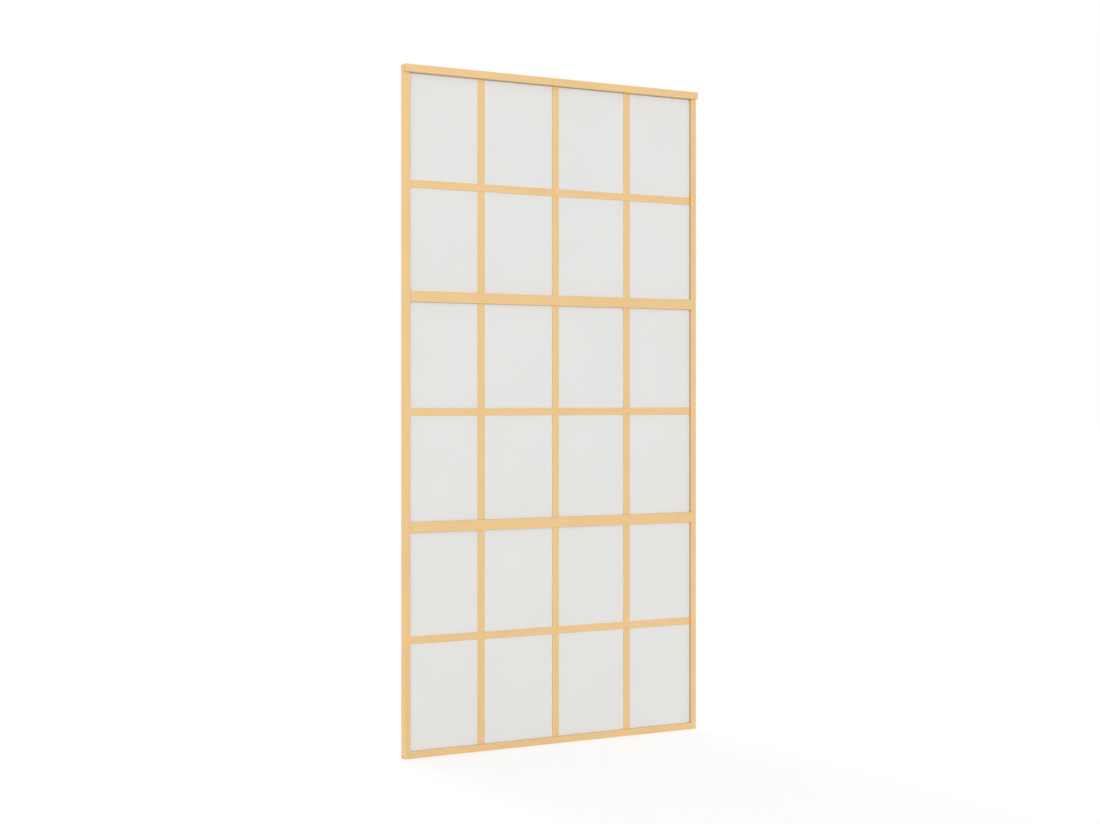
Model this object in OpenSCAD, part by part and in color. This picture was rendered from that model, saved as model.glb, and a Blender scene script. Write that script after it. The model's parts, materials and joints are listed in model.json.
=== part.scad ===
// Leaf of a top-hung sliding glass door. A slim frame of hollow aluminium profiles holds three
// frosted panes in rubber gaskets. Thin glazing bars divide each pane, the same on both faces.
// The head rail is deeper than the leaf and has a slot along its top for two sliding hangers.
// X runs along the leaf, Y through it with the front at -Y, and Z up from the bottom edge.

/* [Leaf] */
// Overall width
leaf_w = 1025; // [950:1:1300]
// Overall height
leaf_h = 2015; // [1600:1:2500]
// Depth of the stiles, transoms and bottom rail
leaf_d = 22; // [21:0.5:30]

/* [Frame profiles] */
// Face width of a stile
stile_w = 19; // [18:0.5:40]
// Face height of the bottom rail
bottom_rail_h = 20; // [19:0.5:60]
// Face height of the head rail
head_rail_h = 22; // [21:0.5:26]
// How far the head rail stands out in front of the stiles
head_nose = 10; // [8:0.5:30]
// Face height of a transom
transom_h = 31; // [29:0.5:60]
// Wall of the hollow profiles
wall = 1.4; // [1.2:0.1:1.8]
// Outer wall of a stile, thick enough for a countersunk head
stile_outer_wall = 2.4; // [2.3:0.1:3]
// Radius of the long outer edges
edge_r = 0.8; // [0.3:0.1:1.2]

/* [Layout] */
// From the middle of the frame opening to the middle of a transom
transom_pitch = 336; // [250:1:400]
// From the middle of a transom to the cross bar of the outer pane beside it
outer_bar_pitch = 328; // [150:1:450]
// From the end of the leaf to the middle of a hanger
hanger_inset = 132.5; // [70:0.5:400]

/* [Glazing] */
// Thickness of the glass
glass_t = 5; // [4:0.5:6]
// Thickness of the rubber on each side of the glass and under its edge
gasket_t = 1.5; // [1:0.1:1.8]
// How far the glass reaches into the frame
glass_bite = 7.5; // [6:0.1:8]

/* [Glazing bars] */
// Face width of a thin bar
bar_w = 22; // [12:0.5:40]
// Thickness of a thin bar
bar_t = 3; // [2:0.1:5]

/* [Hanger slot] */
// Clear height of the slot inside the head rail
slot_h = 8; // [6:0.1:8.5]
// Width of the slot's mouth in the top face
slot_mouth_w = 10; // [9:0.1:12]
// Thickness of the floor between the glass and the slot
slot_floor = 2; // [1.6:0.1:2.4]
// Length of a hanger
hanger_l = 60; // [30:1:120]
// Core diameter of the hanger's thread
hanger_bore = 6.8; // [5:0.1:7]

/* [Hidden] */
$fn = 64;
COLUMNS = 4;
LEFT = -1;
RIGHT = 1;

gold = "#ebc78f";
frosted = "#e5e4e2";
black_rubber = "#2d2b29";
zinc = "#b9bcbf";
raw_aluminium = "#c9cbcd";

// Overrun of cuts, and the clearances that the fits share
overrun = 1;
thread_clearance = 0.05;
push_clearance = 0.1;
lap_clearance = 0.05;
bar_end_clearance = 0.2;
slide_clearance = 0.3;
hole_clearance = 0.4;

// End caps of the head rail
cap_t = 1.5;
cap_peg_l = 18;
cap_peg_wall = 1.6;

// Countersunk screws that tie the bottom rail to the stiles
corner_screw_d = 4.5;
corner_screw_head_d = 9;
corner_screw_l = 45;
corner_port_wall = 2;
corner_port_z = 6;

// Socket screws that tie the stiles to the head rail and the cleats to the stiles
socket_screw_d = 3;
socket_head_d = 5.5;
socket_head_h = 3;
stile_port_wall = 1.6;
stile_screw_grip = 22;
cleat_screw_grip = 4;

// Hexagon recess in every screw head
recess_across = 2.8;
recess_depth = 1.5;

// Cleats, with a tongue in the stile and a body in the transom
cleat_body_l = 25;

// Plan radii of a hanger, and how much shorter its collar is
hanger_corner_r = 2;
hanger_collar_step = 8;

// Places that follow from the sizes above
stile_h = leaf_h - head_rail_h;
opening_w = leaf_w - 2 * stile_w;
opening_mid = (bottom_rail_h + stile_h) / 2;
column_pitch = leaf_w / COLUMNS;
groove_w = glass_t + 2 * gasket_t;
groove_d = glass_bite + gasket_t;
groove_floor_x = stile_w - groove_d;
inner_half_d = leaf_d / 2 - wall;
sleeve_half_w = groove_w / 2 + wall;
stile_chamber_end = groove_floor_x - wall;
stile_port_d = socket_screw_d + 2 * thread_clearance;
stile_port_x = stile_outer_wall + (stile_port_d + wall) / 2;
stile_port_y = inner_half_d - socket_head_d / 2 - slide_clearance;
corner_port_d = corner_screw_d + 2 * thread_clearance;
slot_z = groove_d + slot_floor;
slot_lip = head_rail_h - slot_z - slot_h;
lap_d = bar_t / 2;
hanger_x = leaf_w / 2 - hanger_inset;
transom_core_h = transom_h - 2 * (groove_d + wall);
transom_z = [opening_mid + transom_pitch, opening_mid - transom_pitch];
pane_sill_z = [transom_z[0] + transom_h / 2, transom_z[1] + transom_h / 2, bottom_rail_h];
pane_head_z = [stile_h, transom_z[0] - transom_h / 2, transom_z[1] - transom_h / 2];
cross_bar_z = [transom_z[0] + outer_bar_pitch, opening_mid, transom_z[1] - outer_bar_pitch];
upright_x = [-column_pitch, 0, column_pitch];

SIDES = ["left", "right"];
TRANSOMS = ["upper", "lower"];
PANES = ["upper", "middle", "lower"];
FACES = ["front", "rear"];
UPRIGHTS = ["left", "centre", "right"];

function cleat_name(t, s) = str(TRANSOMS[t], "_", SIDES[s], "_cleat");
function cross_bar_name(f, p) = str(FACES[f], "_", PANES[p], "_cross_bar");
function upright_name(f, p, u) = str(FACES[f], "_", PANES[p], "_", UPRIGHTS[u], "_upright");

// Extrudes a section drawn in Y and Z along X, centred on the leaf
module along_x(length) {
    translate([-length / 2, 0, 0]) rotate([90, 0, 90]) linear_extrude(length) children();
}

// Draws a left-hand piece, or its mirror image for the right
module on_side(side) {
    flip = side == LEFT ? 0 : 1;
    mirror([flip, 0, 0]) children();
}

// Draws a front piece, or its mirror image for the rear
module on_face(face) {
    mirror([0, face, 0]) children();
}

// Rectangle with one corner at the origin and round corners
module round_rectangle(w, h, r) {
    translate([r, 0]) square([w - 2 * r, h]);
    translate([0, r]) square([w, h - 2 * r]);
    for (x = [r, w - r], y = [r, h - r]) translate([x, y]) circle(r);
}

// Rectangle centred on the Y axis and standing on a height
module standing_rectangle(half_w, bottom, top) {
    translate([-half_w, bottom]) square([2 * half_w, top - bottom]);
}

// Stile in plan, with its outer face at zero and its groove facing +X
module stile_section() {
    difference() {
        translate([0, -leaf_d / 2]) round_rectangle(stile_w, leaf_d, edge_r);
        translate([groove_floor_x, -groove_w / 2]) square([groove_d + overrun, groove_w]);
        difference() {
            translate([stile_outer_wall, -inner_half_d])
                square([stile_w - stile_outer_wall - wall, 2 * inner_half_d]);
            translate([stile_chamber_end, -sleeve_half_w])
                square([stile_w - stile_chamber_end, 2 * sleeve_half_w]);
            for (y = [-stile_port_y, stile_port_y])
                translate([stile_port_x, y]) circle(d = stile_port_d + 2 * stile_port_wall);
        }
        for (y = [-stile_port_y, stile_port_y])
            translate([stile_port_x, y]) circle(d = stile_port_d);
    }
}

// Left stile, drilled for its corner screw and for the screws of two cleats
module stile() {
    sink_h = (corner_screw_head_d - corner_screw_d) / 2;
    color(gold) translate([-leaf_w / 2, 0, 0]) difference() {
        linear_extrude(stile_h) stile_section();
        translate([0, 0, corner_port_z]) rotate([0, 90, 0]) {
            translate([0, 0, -overrun])
                cylinder(h = groove_floor_x + 2 * overrun, d = corner_screw_d + 2 * hole_clearance);
            cylinder(h = sink_h + thread_clearance, d1 = corner_screw_head_d + 2 * thread_clearance,
                d2 = corner_screw_d);
        }
        for (z = transom_z)
            translate([stile_chamber_end - overrun, 0, z]) rotate([0, 90, 0])
                cylinder(h = wall + 2 * overrun, d = stile_port_d);
    }
}

// Bottom rail in section, with the groove on top and a screw port in its core
module bottom_rail_section() {
    core_top = bottom_rail_h - groove_d - wall;
    difference() {
        translate([-leaf_d / 2, 0]) round_rectangle(leaf_d, bottom_rail_h, edge_r);
        standing_rectangle(groove_w / 2, bottom_rail_h - groove_d, bottom_rail_h + overrun);
        difference() {
            standing_rectangle(inner_half_d, wall, bottom_rail_h - wall);
            standing_rectangle(sleeve_half_w, core_top, bottom_rail_h);
            translate([0, corner_port_z]) circle(d = corner_port_d + 2 * corner_port_wall);
            standing_rectangle(wall / 2, 0, corner_port_z);
        }
        translate([0, corner_port_z]) circle(d = corner_port_d);
    }
}

module bottom_rail() {
    color(gold) along_x(opening_w) bottom_rail_section();
}

// Transom in section about its middle, with a groove above and below
module transom_section() {
    half_h = transom_h / 2;
    difference() {
        translate([-leaf_d / 2, -half_h]) round_rectangle(leaf_d, transom_h, edge_r);
        for (turn = [0, 180]) rotate(turn)
            standing_rectangle(groove_w / 2, half_h - groove_d, half_h + overrun);
        difference() {
            standing_rectangle(inner_half_d, wall - half_h, half_h - wall);
            for (turn = [0, 180]) rotate(turn)
                standing_rectangle(sleeve_half_w, transom_core_h / 2, half_h);
        }
    }
}

module transom(t) {
    color(gold) translate([0, 0, transom_z[t]]) along_x(opening_w) transom_section();
}

// Outline of the head rail, with its nose in front of the leaf
module head_outline() {
    translate([-leaf_d / 2 - head_nose, 0])
        round_rectangle(leaf_d + head_nose, head_rail_h, edge_r);
}

// Hollow of the nose, less a clearance all round
module nose_hollow(clearance) {
    translate([-leaf_d / 2 - head_nose + wall + clearance, wall + clearance])
        square([head_nose - wall - 2 * clearance, head_rail_h - 2 * (wall + clearance)]);
}

// Head rail in section: groove below, T-slot above, nose in front
module head_section() {
    difference() {
        head_outline();
        standing_rectangle(groove_w / 2, -overrun, groove_d);
        difference() {
            standing_rectangle(inner_half_d, wall, slot_z - wall);
            standing_rectangle(sleeve_half_w, 0, slot_z);
        }
        standing_rectangle(inner_half_d, slot_z, slot_z + slot_h);
        standing_rectangle(slot_mouth_w / 2, slot_z, head_rail_h + overrun);
        nose_hollow(0);
    }
}

// Places one child over each screw port of the two stiles
module at_stile_ports() {
    for (side = [LEFT, RIGHT], y = [-stile_port_y, stile_port_y])
        translate([side * (leaf_w / 2 - stile_port_x), y, stile_h]) children();
}

module head_rail() {
    color(gold) difference() {
        translate([0, 0, stile_h]) along_x(leaf_w - 2 * cap_t) head_section();
        at_stile_ports() translate([0, 0, -overrun])
            cylinder(h = slot_z + 2 * overrun, d = socket_screw_d + 2 * thread_clearance);
    }
}

// Left end cap, with a hollow peg that pushes into the nose
module head_cap() {
    color(gold) translate([-leaf_w / 2, 0, stile_h]) rotate([90, 0, 90]) {
        linear_extrude(cap_t) head_outline();
        linear_extrude(cap_t + cap_peg_l) difference() {
            nose_hollow(push_clearance);
            nose_hollow(push_clearance + cap_peg_wall);
        }
    }
}

// Hanger: a T-shaped slot nut with a threaded hole for the trolley bolt
module hanger(side) {
    body_w = 2 * (inner_half_d - slide_clearance);
    collar_w = slot_mouth_w - 2 * slide_clearance;
    collar_l = hanger_l - 2 * hanger_collar_step;
    body_h = slot_h - 2 * slide_clearance;
    total_h = body_h + slot_lip;
    color(zinc) translate([side * hanger_x, 0, stile_h + slot_z + slide_clearance]) difference() {
        union() {
            linear_extrude(body_h) translate([-hanger_l / 2, -body_w / 2])
                round_rectangle(hanger_l, body_w, hanger_corner_r);
            linear_extrude(total_h) translate([-collar_l / 2, -collar_w / 2])
                round_rectangle(collar_l, collar_w, hanger_corner_r);
        }
        translate([0, 0, -overrun]) cylinder(h = total_h + 2 * overrun, d = hanger_bore);
    }
}

// Left cleat about the middle of its transom, with its tongue in the stile's groove
module cleat(t) {
    tongue_w = groove_w - 2 * push_clearance;
    body_w = 2 * (inner_half_d - push_clearance);
    cleat_h = transom_core_h - 2 * push_clearance;
    color(raw_aluminium) translate([-opening_w / 2, 0, transom_z[t]]) difference() {
        union() {
            translate([-groove_d, -tongue_w / 2, -cleat_h / 2])
                cube([groove_d + cleat_body_l, tongue_w, cleat_h]);
            translate([0, -body_w / 2, -cleat_h / 2]) cube([cleat_body_l, body_w, cleat_h]);
        }
        translate([-groove_d - overrun, 0, 0]) rotate([0, 90, 0])
            cylinder(h = groove_d + cleat_body_l + 2 * overrun, d = stile_port_d);
    }
}

// Hexagon recess cut into a screw head whose top is at zero
module hex_recess() {
    translate([0, 0, -recess_depth])
        cylinder(h = recess_depth + overrun, d = recess_across, $fn = 6);
}

// Countersunk screw along -Z with its head flush at zero
module countersunk_screw() {
    sink_h = (corner_screw_head_d - corner_screw_d) / 2;
    difference() {
        union() {
            translate([0, 0, -corner_screw_l]) cylinder(h = corner_screw_l, d = corner_screw_d);
            translate([0, 0, -sink_h])
                cylinder(h = sink_h, d1 = corner_screw_d, d2 = corner_screw_head_d);
        }
        hex_recess();
    }
}

// Socket screw along -Z with the seat of its head at zero
module socket_screw(length) {
    difference() {
        union() {
            translate([0, 0, -length]) cylinder(h = length, d = socket_screw_d);
            cylinder(h = socket_head_h, d = socket_head_d);
        }
        translate([0, 0, socket_head_h]) hex_recess();
    }
}

module corner_screws() {
    color(zinc) for (side = [LEFT, RIGHT]) on_side(side)
        translate([-leaf_w / 2, 0, corner_port_z]) rotate([0, -90, 0]) countersunk_screw();
}

module stile_screws() {
    color(zinc) at_stile_ports() translate([0, 0, slot_z])
        socket_screw(slot_z + stile_screw_grip);
}

module cleat_screws() {
    color(zinc) for (side = [LEFT, RIGHT], z = transom_z) on_side(side)
        translate([cleat_body_l - opening_w / 2, 0, z]) rotate([0, 90, 0])
            socket_screw(cleat_body_l + groove_d + cleat_screw_grip);
}

// Block over a pane's opening, larger by a reach on every edge
module pane_block(p, reach, thickness) {
    height = pane_head_z[p] - pane_sill_z[p] + 2 * reach;
    translate([-opening_w / 2 - reach, -thickness / 2, pane_sill_z[p] - reach])
        cube([opening_w + 2 * reach, thickness, height]);
}

module glass(p) {
    color(frosted) pane_block(p, glass_bite, glass_t);
}

// U-shaped gasket that wraps the edge of a pane and ends flush with the frame
module gasket(p) {
    color(black_rubber) difference() {
        pane_block(p, groove_d, groove_w);
        pane_block(p, glass_bite, glass_t);
        pane_block(p, 0, groove_w + overrun);
    }
}

// Thin bar in section, lying on the glass at zero, with its two outer edges rounded
module bar_section() {
    translate([-bar_w / 2, 0]) square([bar_w, bar_t - edge_r]);
    translate([edge_r - bar_w / 2, 0]) square([bar_w - 2 * edge_r, bar_t]);
    for (x = [edge_r - bar_w / 2, bar_w / 2 - edge_r])
        translate([x, bar_t - edge_r]) circle(edge_r);
}

// Cross bar, halved on the glass side where it rides over the uprights
module cross_bar(f, p) {
    length = opening_w - 2 * bar_end_clearance;
    lap_w = bar_w + 2 * lap_clearance;
    color(gold) on_face(f) translate([0, -glass_t / 2, cross_bar_z[p]]) difference() {
        translate([-length / 2, 0, 0]) rotate([180, 0, 0]) rotate([0, 90, 0])
            linear_extrude(length) bar_section();
        for (x = upright_x)
            translate([x - lap_w / 2, -lap_d, -bar_w / 2 - overrun])
                cube([lap_w, lap_d + overrun, bar_w + 2 * overrun]);
    }
}

// Upright, halved on the outer side where the cross bar rides over it
module upright(f, p, u) {
    sill = pane_sill_z[p] + bar_end_clearance;
    length = pane_head_z[p] - bar_end_clearance - sill;
    lap_h = bar_w + 2 * lap_clearance;
    color(gold) on_face(f) translate([upright_x[u], -glass_t / 2, 0]) difference() {
        translate([0, 0, sill]) rotate([0, 0, 180]) linear_extrude(length) bar_section();
        translate([-bar_w / 2 - overrun, -bar_t - overrun, cross_bar_z[p] - lap_h / 2])
            cube([bar_w + 2 * overrun, bar_t - lap_d + overrun, lap_h]);
    }
}

head_rail();
bottom_rail();
corner_screws();
stile_screws();
cleat_screws();
for (s = [0, 1]) {
    side = s == 0 ? LEFT : RIGHT;
    on_side(side) stile();
    on_side(side) head_cap();
    hanger(side);
    for (t = [0, 1])
        on_side(side) cleat(t);
}
for (t = [0, 1])
    transom(t);
for (p = [0, 1, 2]) {
    glass(p);
    gasket(p);
    for (f = [0, 1]) {
        cross_bar(f, p);
        for (u = [0, 1, 2])
            upright(f, p, u);
    }
}
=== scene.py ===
"""Looks of a sliding glass door leaf: satin gold frame, etched glass, soft studio light."""
import json
import math

import bpy
import numpy as np
from mathutils import Euler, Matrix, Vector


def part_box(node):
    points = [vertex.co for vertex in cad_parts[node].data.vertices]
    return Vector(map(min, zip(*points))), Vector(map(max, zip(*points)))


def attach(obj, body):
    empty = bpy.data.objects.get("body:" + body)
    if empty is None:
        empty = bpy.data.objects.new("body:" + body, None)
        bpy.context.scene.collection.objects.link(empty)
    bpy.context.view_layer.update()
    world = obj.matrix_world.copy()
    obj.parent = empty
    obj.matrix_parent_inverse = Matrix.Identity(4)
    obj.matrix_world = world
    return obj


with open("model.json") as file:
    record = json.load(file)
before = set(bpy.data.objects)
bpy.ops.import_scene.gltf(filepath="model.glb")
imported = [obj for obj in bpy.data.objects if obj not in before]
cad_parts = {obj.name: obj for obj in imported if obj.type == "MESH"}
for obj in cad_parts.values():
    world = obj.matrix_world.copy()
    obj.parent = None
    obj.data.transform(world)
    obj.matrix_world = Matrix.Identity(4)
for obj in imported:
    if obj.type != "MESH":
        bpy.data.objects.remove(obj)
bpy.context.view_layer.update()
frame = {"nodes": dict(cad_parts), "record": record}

MM = 0.001
UPRIGHT, LEVEL = 2, 0  # index of the axis that a profile runs along

# Camera, fitted to the leaf's own edges in an image of 1100 by 824 pixels
IMAGE_W, IMAGE_H = 1100, 824
FOCAL_PX = 1891.0
AXIS_ROW_PX = 400.1
SENSOR_W = 36.0
CAMERA_TURN = math.radians(30.35)
CAMERA_DISTANCE = 5.745
CAMERA_SIDE = -0.015
CAMERA_HEIGHT = 1.041
CAMERA_REACH = 200.0

# Studio: light that falls on the leaf, and the white that is seen around it
SKY_HORIZON = 0.65
SKY_ZENITH = 0.4
SEEN_WHITE = 1.0
WHITE = "#FFFFFF"
FLOOR_HALF = 40.0
FLOOR_COLOUR = "#E1E1E1"
FLOOR_ROUGHNESS = 0.9
FLOOR_GLOW = 0.43
# Far lamps: degrees of turn from the leaf's front, of rise above the floor and of spread, then strength
SHEEN_LAMPS = {"front_sheen": (-31, 16, 100, 0.5), "back_sheen": (160, 45, 100, 0.3)}
FILL_LAMPS = {
    "front_low": (-31, 5, 10, 1.7),
    "back_low": (180, 5, 10, 1.3),
    "back_high": (160, 45, 100, 0.4),
}

# Noises of a finish: their detail, and the range of their blend that spans the finish's two colours
BROAD_DETAIL, FINE_DETAIL = 3.0, 4.0
BLEND_LOW, BLEND_HIGH = 0.3, 0.7

# Sockets of a Mix node, by index because its numbers and its colours share their names
MIX_FACTOR = 0
MIX_NUMBER_A, MIX_NUMBER_B, MIX_NUMBER_OUT = 2, 3, 0
MIX_COLOUR_A, MIX_COLOUR_B, MIX_COLOUR_OUT = 6, 7, 2

# Thread of a hanger: a low ridge in its hole, sunk a little into the wall so that no gap shows
THREAD_PITCH = 1.25 * MM
THREAD_DEPTH = 0.12 * MM
THREAD_SINK = 0.03 * MM
THREAD_WIDTH_SHARE = 0.8
THREAD_STEPS = 48
THREAD_END_SHARE = 0.05


def linear(colour):
    """Linear RGBA of an sRGB hex colour, by the standard sRGB curve."""
    srgb = np.array([int(colour[i:i + 2], 16) for i in (1, 3, 5)]) / 255
    rgb = np.where(srgb <= 0.04045, srgb / 12.92, ((srgb + 0.055) / 1.055) ** 2.4)
    return (*map(float, rgb), 1.0)


def add(tree, kind, inputs=None, **settings):
    """Adds a node. An input takes a number or colour, or is linked where another node's socket is given."""
    node = tree.nodes.new(kind)
    for name, value in settings.items():
        setattr(node, name, value)
    for name, value in (inputs or {}).items():
        if isinstance(value, bpy.types.NodeSocket):
            tree.links.new(value, node.inputs[name])
        else:
            node.inputs[name].default_value = value
    return node


def blank_material(name):
    """A node material with only its output, and that output."""
    material = bpy.data.materials.new(name)
    material.use_nodes = True
    material.node_tree.nodes.clear()
    return material, add(material.node_tree, "ShaderNodeOutputMaterial")


def finish(name, colours, patch, grain, grain_share, grain_height, rough,
           run=None, stretch=1.0, sockets=None):
    """A finish made of two noises in Object coordinates.

    A broad noise is patch millimetres across. A fine noise is grain millimetres across and drawn out along
    the run axis by the stretch. Their blend, with the fine one's share, drifts the colour between the two
    given. The fine noise alone sets the roughness between two values and raises a bump of grain_height
    millimetres. sockets holds the shader's constants.
    """
    material, output = blank_material(name)
    tree = material.node_tree
    place = add(tree, "ShaderNodeTexCoord").outputs["Object"]
    scale = [1.0, 1.0, 1.0]
    if run is not None:
        scale[run] = 1.0 / stretch
    drawn = add(tree, "ShaderNodeMapping", {"Vector": place, "Scale": scale}).outputs["Vector"]
    broad = add(tree, "ShaderNodeTexNoise",
                {"Vector": place, "Scale": 1 / (patch * MM), "Detail": BROAD_DETAIL}).outputs[0]
    fine = add(tree, "ShaderNodeTexNoise",
               {"Vector": drawn, "Scale": 1 / (grain * MM), "Detail": FINE_DETAIL}).outputs[0]
    blend = add(tree, "ShaderNodeMix", {MIX_FACTOR: grain_share, MIX_NUMBER_A: broad, MIX_NUMBER_B: fine})
    drift = add(tree, "ShaderNodeMapRange",
                {"Value": blend.outputs[MIX_NUMBER_OUT], "From Min": BLEND_LOW, "From Max": BLEND_HIGH})
    first, second = map(linear, colours)
    tint = add(tree, "ShaderNodeMix",
               {MIX_FACTOR: drift.outputs[0], MIX_COLOUR_A: first, MIX_COLOUR_B: second}, data_type="RGBA")
    gloss = add(tree, "ShaderNodeMapRange", {"Value": fine, "To Min": rough[0], "To Max": rough[1]})
    bump = add(tree, "ShaderNodeBump", {"Height": fine, "Distance": grain_height * MM})
    shader = add(tree, "ShaderNodeBsdfPrincipled",
                 {"Base Color": tint.outputs[MIX_COLOUR_OUT], "Roughness": gloss.outputs[0],
                  "Normal": bump.outputs[0], **(sockets or {})})
    tree.links.new(shader.outputs[0], output.inputs["Surface"])
    return material


def make_finishes():
    """Every finish by the record's slot, and by the run of the profile where it has one."""
    finishes = {}
    for run, word in ((UPRIGHT, "upright"), (LEVEL, "level")):
        # Extruded aluminium, satin anodised gold: an even metal sheen with die lines along the profile.
        # Real die lines are 0.2 mm apart; they are drawn at 0.6 mm so that they show.
        finishes["gold_aluminium", run] = finish(
            f"satin_anodised_gold_{word}", ("#E9C58E", "#EFCB94"), patch=140, grain=0.6, grain_share=0.4,
            grain_height=0.006, rough=(0.3, 0.46), run=run, stretch=300, sockets={"Metallic": 1.0})
    # Moulded ABS in a metal-flake lacquer that matches the frame: a flatter gold without die lines, with a
    # fine orange peel.
    finishes["gold_plastic"] = finish(
        "lacquered_gold_abs", ("#E5C18B", "#EBC791"), patch=60, grain=0.8, grain_share=0.3,
        grain_height=0.01, rough=(0.42, 0.5), sockets={"Metallic": 0.8})
    # Acid-etched float glass: lets light through but no image, with a silky grain. The real grain is under
    # 0.1 mm; it is drawn at 0.4 mm so that it shows.
    finishes["frosted_glass"] = finish(
        "acid_etched_glass", ("#E6E6E4", "#EBEBE9"), patch=260, grain=0.4, grain_share=0.6,
        grain_height=0.01, rough=(0.48, 0.6), sockets={"Transmission Weight": 0.2, "IOR": 1.5})
    # Extruded EPDM: dead black rubber, slightly dusty, with a dry fine grain.
    finishes["black_rubber"] = finish(
        "epdm_rubber", ("#282624", "#383532"), patch=40, grain=0.5, grain_share=0.5,
        grain_height=0.02, rough=(0.65, 0.8), sockets={"IOR": 1.5})
    # Zinc-plated steel: cool bright metal with a cloudy passivated bloom and mill lines along X.
    finishes["zinc_steel"] = finish(
        "zinc_plated_steel", ("#B9BEC3", "#CFCCC2"), patch=14, grain=0.5, grain_share=0.4,
        grain_height=0.006, rough=(0.28, 0.42), run=LEVEL, stretch=30, sockets={"Metallic": 1.0})
    # Yellow-passivated zinc on the screws: a straw gold near the frame's, cloudy and a little darker.
    finishes["screws"] = finish(
        "yellow_passivated_zinc", ("#CFAF70", "#DCC290"), patch=3, grain=0.4, grain_share=0.4,
        grain_height=0.004, rough=(0.3, 0.45), sockets={"Metallic": 1.0})
    # Mill-finish aluminium: bare grey metal as it leaves the die, duller than the anodised frame.
    finishes["raw_aluminium"] = finish(
        "mill_finish_aluminium", ("#C2C4C7", "#D4D5D6"), patch=30, grain=0.6, grain_share=0.6,
        grain_height=0.01, rough=(0.4, 0.55), run=LEVEL, stretch=40, sockets={"Metallic": 1.0})
    return finishes


def dress_nodes(finishes):
    """Gives each CAD node the finish of its slot, with the grain along its longest side."""
    for entry in frame["record"]["subparts"]:
        name, slot = entry["node"], entry["material_slot"]
        low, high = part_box(name)
        run = UPRIGHT if (high - low).z > (high - low).x else LEVEL
        key = "screws" if name.endswith("_screws") else slot
        material = finishes.get((key, run)) or finishes[key]
        for holder in frame["nodes"][name].material_slots:
            holder.material = material


def mesh_piece(name, points, faces):
    """An object at the origin, with its place in its mesh of points and faces."""
    mesh = bpy.data.meshes.new(name)
    mesh.from_pydata(points.tolist(), [], faces)
    piece = bpy.data.objects.new(name, mesh)
    bpy.context.scene.collection.objects.link(piece)
    return piece


def hanger_thread(side, material):
    """Ridge of the tapped thread in a hanger's hole.

    Its section is a flat triangle with two feet sunk in the hole's wall and a crest that stands in. At turn
    angle a the middle of the section is half a pitch above the hole's foot, plus the pitch times a / (2 pi).
    The section grows to its full size over the first half turn and shrinks again over the last, and a
    small face closes each end.
    """
    mount = next(m for m in frame["record"]["mounts"] if m["name"] == f"{side}_hanger_thread")
    radius = mount["dims"]["r_mm"] * MM
    low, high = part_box(f"{side}_hanger")
    turns = (high.z - low.z) / THREAD_PITCH - 1
    angle = np.linspace(0, 2 * math.pi * turns, int(THREAD_STEPS * turns) + 1)[:, None]
    size = np.clip(np.minimum(angle, angle[-1] - angle) / math.pi, THREAD_END_SHARE, 1)
    reach = radius + size * np.array([THREAD_SINK, -THREAD_DEPTH, THREAD_SINK])
    rise = size * np.array([-0.5, 0, 0.5]) * THREAD_WIDTH_SHARE * THREAD_PITCH
    sections = np.stack([
        mount["pos_m"][0] + reach * np.cos(angle),
        mount["pos_m"][1] + reach * np.sin(angle),
        low.z + THREAD_PITCH * (angle / (2 * math.pi) + 0.5) + rise,
    ], axis=2)
    points = np.arange(sections.size // 3).reshape(-1, 3)
    after = np.roll(points, -1, axis=1)
    flanks = np.stack([points[:-1], after[:-1], after[1:], points[1:]], axis=2).reshape(-1, 4)
    ends = [points[0, ::-1].tolist(), points[-1].tolist()]
    piece = mesh_piece(f"{side}_hanger_thread", sections.reshape(-1, 3), flanks.tolist() + ends)
    piece.data.materials.append(material)
    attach(piece, f"{side}_hanger")


def seen_rays(tree):
    """A socket that is one for the rays that show a surface: seen, mirrored or through glass."""
    path = add(tree, "ShaderNodeLightPath").outputs
    direct = add(tree, "ShaderNodeMath", {0: path["Is Camera Ray"], 1: path["Is Glossy Ray"]},
                 operation="MAXIMUM")
    every = add(tree, "ShaderNodeMath", {0: direct.outputs[0], 1: path["Is Transmission Ray"]},
                operation="MAXIMUM")
    return every.outputs[0]


def make_floor():
    """Pale floor that glows a little where it is seen, so that it is white but keeps the leaf's shadow."""
    corners = FLOOR_HALF * np.array([(-1, -1, 0), (1, -1, 0), (1, 1, 0), (-1, 1, 0)])
    floor = mesh_piece("floor", corners, [(0, 1, 2, 3)])
    material, output = blank_material("pale_floor")
    tree = material.node_tree
    glow = add(tree, "ShaderNodeMath", {0: seen_rays(tree), 1: FLOOR_GLOW}, operation="MULTIPLY")
    shader = add(tree, "ShaderNodeBsdfPrincipled",
                 {"Base Color": linear(FLOOR_COLOUR), "Roughness": FLOOR_ROUGHNESS,
                  "Specular IOR Level": 0.0, "Emission Color": linear(WHITE),
                  "Emission Strength": glow.outputs[0]})
    tree.links.new(shader.outputs[0], output.inputs["Surface"])
    floor.data.materials.append(material)


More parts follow.
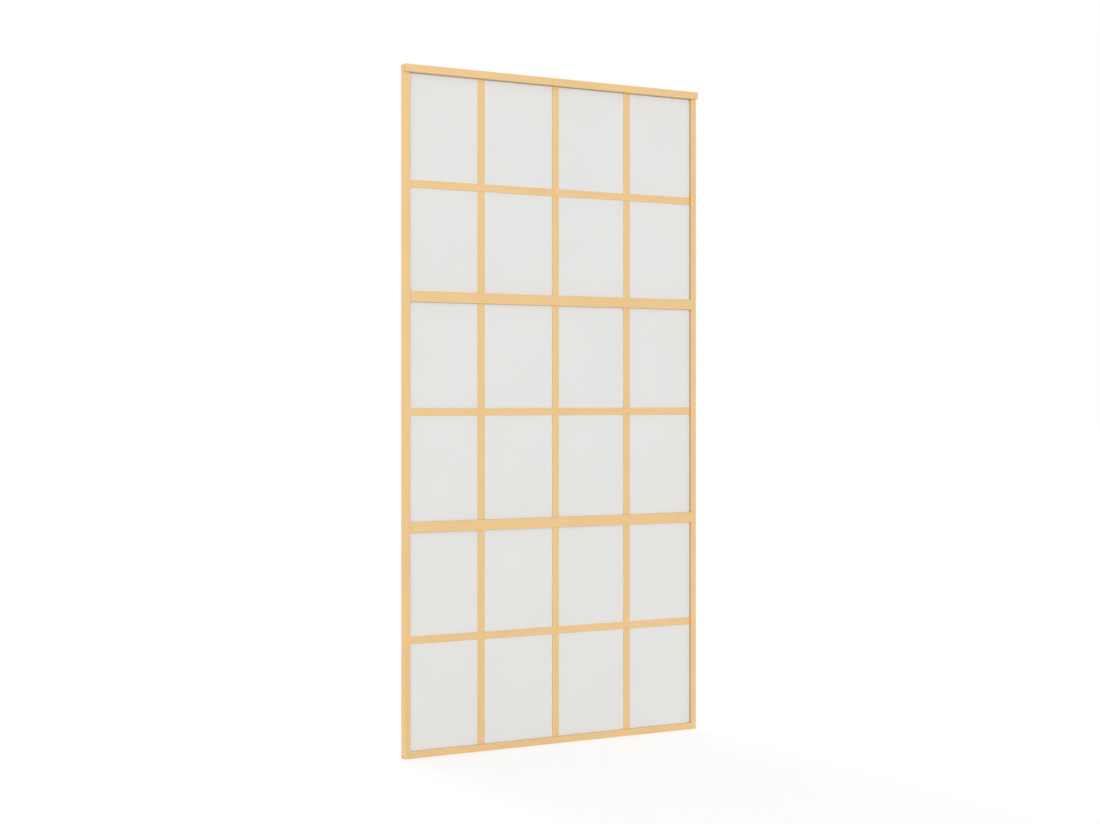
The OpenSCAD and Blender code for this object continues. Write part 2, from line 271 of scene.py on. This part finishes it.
def make_world():
    """Sky light that is strongest from the sides, and plain white where the sky is seen or mirrored."""
    world = bpy.data.worlds.new("studio")
    bpy.context.scene.world = world
    world.use_nodes = True
    tree = world.node_tree
    tree.nodes.clear()
    heading = add(tree, "ShaderNodeSeparateXYZ", {0: add(tree, "ShaderNodeTexCoord").outputs["Generated"]})
    level = add(tree, "ShaderNodeMapRange",
                {"Value": heading.outputs["Z"], "To Min": SKY_HORIZON, "To Max": SKY_ZENITH})
    light = add(tree, "ShaderNodeBackground", {"Color": linear(WHITE), "Strength": level.outputs[0]})
    white = add(tree, "ShaderNodeBackground", {"Color": linear(WHITE), "Strength": SEEN_WHITE})
    mix = add(tree, "ShaderNodeMixShader", {0: seen_rays(tree), 1: light.outputs[0], 2: white.outputs[0]})
    add(tree, "ShaderNodeOutputWorld", {"Surface": mix.outputs[0]})


def make_lamps():
    """Sheen lamps show in the metal as a soft sheen, and fill lamps stay out of metal and glass.

    The low fill lamps light the panes evenly up to their edges, and the high one casts the soft shadow in
    front of the foot. In the metal they would show as a glare.
    """
    for name, (turn, rise, spread, strength) in {**SHEEN_LAMPS, **FILL_LAMPS}.items():
        light = bpy.data.lights.new(name, "SUN")
        light.angle = math.radians(spread)
        light.energy = strength
        lamp = bpy.data.objects.new(name, light)
        lamp.visible_glossy = name in SHEEN_LAMPS
        lamp.visible_transmission = name in SHEEN_LAMPS
        lamp.rotation_euler = Euler((math.radians(90 - rise), 0, math.radians(turn)))
        bpy.context.scene.collection.objects.link(lamp)


def make_camera():
    """Level camera to the left of the leaf's front, with its axis a little above the middle of the image."""
    data = bpy.data.cameras.new("camera")
    data.sensor_width = SENSOR_W
    data.sensor_fit = "HORIZONTAL"
    data.lens = FOCAL_PX / IMAGE_W * SENSOR_W
    data.shift_y = (AXIS_ROW_PX - IMAGE_H / 2) / IMAGE_W
    data.clip_end = CAMERA_REACH
    camera = bpy.data.objects.new("camera", data)
    sine, cosine = math.sin(CAMERA_TURN), math.cos(CAMERA_TURN)
    camera.location = (
        -CAMERA_DISTANCE * sine + CAMERA_SIDE * cosine,
        -CAMERA_DISTANCE * cosine - CAMERA_SIDE * sine,
        CAMERA_HEIGHT,
    )
    camera.rotation_euler = Euler((math.pi / 2, 0, -CAMERA_TURN))
    bpy.context.scene.collection.objects.link(camera)
    bpy.context.scene.camera = camera


finishes = make_finishes()
dress_nodes(finishes)
for side in ("left", "right"):
    hanger_thread(side, finishes["zinc_steel"])
make_floor()
make_world()
make_lamps()
make_camera()
bpy.context.scene.view_settings.view_transform = "Standard"
